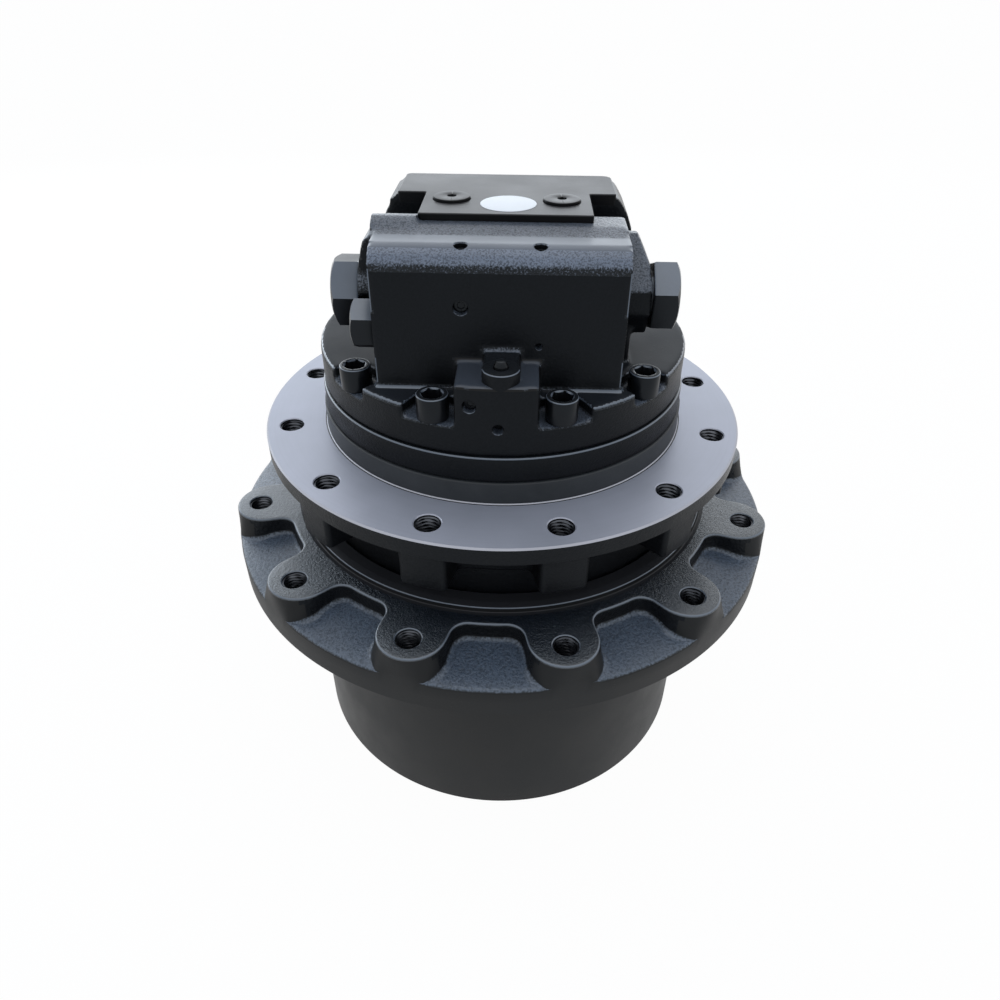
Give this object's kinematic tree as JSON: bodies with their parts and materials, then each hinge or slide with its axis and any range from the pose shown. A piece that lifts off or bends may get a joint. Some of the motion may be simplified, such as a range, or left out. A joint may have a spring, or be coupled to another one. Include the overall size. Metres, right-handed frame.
{
  "type": "excavator final drive",
  "caption": "Hydraulic travel motor with a bolted valve block on a two-stage planetary reduction, with a frame flange and a lugged rotating sprocket hub.",
  "frame": {"origin": "centre of the cover's outer face, on the axis of the hub", "axes": "+Z along the hub's axis from the cover to the valve block, -Y the front where the valve block's bolts and front cap show, +X to the right of the front"},
  "size_m": [0.3336, 0.3336, 0.3475],
  "materials": {
    "hub": "sand-cast iron, thin dark primer",
    "cover": "cast iron, thin dark primer",
    "cover_snap_ring": "spring steel",
    "cover_plug_1": "hardened and ground gear steel",
    "cover_plug_2": "hardened and ground gear steel",
    "cover_plug_3": "hardened and ground gear steel",
    "bearing_outer_race_lower": "ground steel",
    "bearing_outer_race_upper": "ground steel",
    "seal_ring_hub": "ground steel",
    "spindle": "painted cast iron with a machined silver flange face",
    "carrier_two": "dark grey primer on ductile iron",
    "motor_case": "satin black paint on cast iron, lit tops bluish grey",
    "port_block": "satin black paint on cast iron, lit tops bluish grey",
    "port_block_bolt_1": "satin black paint on cast iron, lit tops bluish grey",
    "port_block_bolt_2": "satin black paint on cast iron, lit tops bluish grey",
    "port_block_bolt_3": "satin black paint on cast iron, lit tops bluish grey",
    "port_block_bolt_4": "satin black paint on cast iron, lit tops bluish grey",
    "port_block_bolt_5": "satin black paint on cast iron, lit tops bluish grey",
    "port_block_bolt_6": "satin black paint on cast iron, lit tops bluish grey",
    "port_block_bolt_7": "satin black paint on cast iron, lit tops bluish grey",
    "port_block_bolt_8": "satin black paint on cast iron, lit tops bluish grey",
    "valve_plate": "bearing bronze",
    "swash_cradle_left": "bearing bronze",
    "swash_cradle_right": "bearing bronze",
    "brake_steel_plate_lower": "hardened and ground gear steel",
    "brake_steel_plate_upper": "hardened and ground gear steel",
    "brake_disc_spring": "spring steel",
    "spool_cap_left": "satin black paint on cast iron, lit tops bluish grey",
    "spool_cap_right": "satin black paint on cast iron, lit tops bluish grey",
    "spool_spring_left": "spring steel",
    "spool_spring_right": "spring steel",
    "check_valve_cap": "satin black paint on cast iron, lit tops bluish grey",
    "slab_plug_left": "satin black paint on cast iron, lit tops bluish grey",
    "slab_plug_right": "satin black paint on cast iron, lit tops bluish grey",
    "pilot_cap": "satin black paint on cast iron, lit tops bluish grey",
    "bearing_inner_race_lower": "ground steel",
    "bearing_inner_race_upper": "ground steel",
    "seal_ring_frame": "ground steel",
    "shaft_bearing_lower": "ground steel",
    "shaft_bearing_upper": "ground steel",
    "bearing_cage_lower": "bearing bronze",
    "bearing_cage_upper": "bearing bronze",
    "carrier_one": "dark grey primer on ductile iron",
    "sun_two": "hardened and ground gear steel",
    "sun_one": "hardened and ground gear steel",
    "drive_shaft": "ground steel",
    "cylinder_barrel": "bearing bronze",
    "piston_set": "ground steel",
    "retainer_bushing": "hardened and ground gear steel",
    "brake_friction_disc": "sintered friction facing on a steel disc",
    "planet_one_a": "hardened and ground gear steel",
    "planet_one_b": "hardened and ground gear steel",
    "planet_one_c": "hardened and ground gear steel",
    "planet_two_a": "hardened and ground gear steel",
    "planet_two_b": "hardened and ground gear steel",
    "planet_two_c": "hardened and ground gear steel",
    "swash_plate": "ground steel",
    "speed_piston": "ground steel",
    "brake_piston": "hardened and ground gear steel",
    "counterbalance_spool": "ground steel"
  },
  "bodies": {
    "hub_side": {"hub": "hub", "cover": "cover", "cover_snap_ring": "cover_snap_ring", "cover_plug_1": "cover_plug_1", "cover_plug_2": "cover_plug_2", "cover_plug_3": "cover_plug_3", "bearing_outer_race_lower": "bearing_outer_race_lower", "bearing_outer_race_upper": "bearing_outer_race_upper", "seal_ring_hub": "seal_ring_hub"},
    "frame_side": {"spindle": "spindle", "carrier_two": "carrier_two", "motor_case": "motor_case", "port_block": "port_block", "port_block_bolt_1": "port_block_bolt_1", "port_block_bolt_2": "port_block_bolt_2", "port_block_bolt_3": "port_block_bolt_3", "port_block_bolt_4": "port_block_bolt_4", "port_block_bolt_5": "port_block_bolt_5", "port_block_bolt_6": "port_block_bolt_6", "port_block_bolt_7": "port_block_bolt_7", "port_block_bolt_8": "port_block_bolt_8", "valve_plate": "valve_plate", "swash_cradle_left": "swash_cradle_left", "swash_cradle_right": "swash_cradle_right", "brake_steel_plate_lower": "brake_steel_plate_lower", "brake_steel_plate_upper": "brake_steel_plate_upper", "brake_disc_spring": "brake_disc_spring", "spool_cap_left": "spool_cap_left", "spool_cap_right": "spool_cap_right", "spool_spring_left": "spool_spring_left", "spool_spring_right": "spool_spring_right", "check_valve_cap": "check_valve_cap", "slab_plug_left": "slab_plug_left", "slab_plug_right": "slab_plug_right", "pilot_cap": "pilot_cap", "bearing_inner_race_lower": "bearing_inner_race_lower", "bearing_inner_race_upper": "bearing_inner_race_upper", "seal_ring_frame": "seal_ring_frame", "shaft_bearing_lower": "shaft_bearing_lower", "shaft_bearing_upper": "shaft_bearing_upper"},
    "rollers_lower": {"bearing_cage_lower": "bearing_cage_lower"},
    "rollers_upper": {"bearing_cage_upper": "bearing_cage_upper"},
    "first_carrier": {"carrier_one": "carrier_one", "sun_two": "sun_two"},
    "motor_shaft": {"sun_one": "sun_one", "drive_shaft": "drive_shaft", "cylinder_barrel": "cylinder_barrel", "piston_set": "piston_set", "retainer_bushing": "retainer_bushing", "brake_friction_disc": "brake_friction_disc"},
    "input_planet_a": {"planet_one_a": "planet_one_a"},
    "input_planet_b": {"planet_one_b": "planet_one_b"},
    "input_planet_c": {"planet_one_c": "planet_one_c"},
    "output_planet_a": {"planet_two_a": "planet_two_a"},
    "output_planet_b": {"planet_two_b": "planet_two_b"},
    "output_planet_c": {"planet_two_c": "planet_two_c"},
    "swash": {"swash_plate": "swash_plate"},
    "speed_piston_body": {"speed_piston": "speed_piston"},
    "brake_piston_body": {"brake_piston": "brake_piston"},
    "spool_body": {"counterbalance_spool": "counterbalance_spool"}
  },
  "joints": [
    {"name": "hub_spin", "type": "hinge", "parent": "frame_side", "child": "hub_side", "pos_m": [0, 0, 0.1], "axis": [0, 0, 1], "continuous": true},
    {"name": "rollers_lower_spin", "type": "hinge", "parent": "frame_side", "child": "rollers_lower", "pos_m": [0, 0, 0.111], "axis": [0, 0, 1], "continuous": true},
    {"name": "rollers_upper_spin", "type": "hinge", "parent": "frame_side", "child": "rollers_upper", "pos_m": [0, 0, 0.141], "axis": [0, 0, 1], "continuous": true},
    {"name": "first_carrier_spin", "type": "hinge", "parent": "frame_side", "child": "first_carrier", "pos_m": [0, 0, 0.045], "axis": [0, 0, 1], "continuous": true},
    {"name": "motor_shaft_spin", "type": "hinge", "parent": "frame_side", "child": "motor_shaft", "pos_m": [0, 0, 0.2], "axis": [0, 0, 1], "continuous": true},
    {"name": "input_planet_a_spin", "type": "hinge", "parent": "first_carrier", "child": "input_planet_a", "pos_m": [0.063, 0, 0.028], "axis": [0, 0, 1], "continuous": true},
    {"name": "output_planet_a_spin", "type": "hinge", "parent": "frame_side", "child": "output_planet_a", "pos_m": [0.06825, 0, 0.071], "axis": [0, 0, 1], "continuous": true},
    {"name": "input_planet_b_spin", "type": "hinge", "parent": "first_carrier", "child": "input_planet_b", "pos_m": [-0.0315, 0.05456, 0.028], "axis": [0, 0, 1], "continuous": true},
    {"name": "output_planet_b_spin", "type": "hinge", "parent": "frame_side", "child": "output_planet_b", "pos_m": [-0.03413, 0.05911, 0.071], "axis": [0, 0, 1], "continuous": true},
    {"name": "input_planet_c_spin", "type": "hinge", "parent": "first_carrier", "child": "input_planet_c", "pos_m": [-0.0315, -0.05456, 0.028], "axis": [0, 0, 1], "continuous": true},
    {"name": "output_planet_c_spin", "type": "hinge", "parent": "frame_side", "child": "output_planet_c", "pos_m": [-0.03413, -0.05911, 0.071], "axis": [0, 0, 1], "continuous": true},
    {"name": "swash_tilt", "type": "hinge", "parent": "frame_side", "child": "swash", "pos_m": [0, 0, 0.146], "axis": [1, 0, 0], "range_deg": [-5.5, 0]},
    {"name": "speed_piston_slide", "type": "slide", "parent": "frame_side", "child": "speed_piston_body", "axis": [0, 0, 1], "range_m": [-0.0037, 0]},
    {"name": "brake_release", "type": "slide", "parent": "frame_side", "child": "brake_piston_body", "axis": [0, 0, 1], "range_m": [0, 0.0012], "deforming": ["brake_disc_spring"]},
    {"name": "spool_slide", "type": "slide", "parent": "frame_side", "child": "spool_body", "axis": [1, 0, 0], "range_m": [-0.006, 0.006], "deforming": ["spool_spring_left", "spool_spring_right"]}
  ],
  "couplings": [
    {"joint": "rollers_lower_spin", "follows": "hub_spin", "ratio": 0.5237},
    {"joint": "rollers_upper_spin", "follows": "hub_spin", "ratio": 0.5237},
    {"joint": "first_carrier_spin", "follows": "hub_spin", "ratio": -4.2},
    {"joint": "motor_shaft_spin", "follows": "hub_spin", "ratio": -40.6},
    {"joint": "speed_piston_slide", "follows": "swash_tilt", "m_per_rad": 0.038},
    {"joint": "input_planet_a_spin", "follows": "hub_spin", "ratio": 12.133},
    {"joint": "output_planet_a_spin", "follows": "hub_spin", "ratio": 2.625},
    {"joint": "input_planet_b_spin", "follows": "hub_spin", "ratio": 12.133},
    {"joint": "output_planet_b_spin", "follows": "hub_spin", "ratio": 2.625},
    {"joint": "input_planet_c_spin", "follows": "hub_spin", "ratio": 12.133},
    {"joint": "output_planet_c_spin", "follows": "hub_spin", "ratio": 2.625}
  ]
}
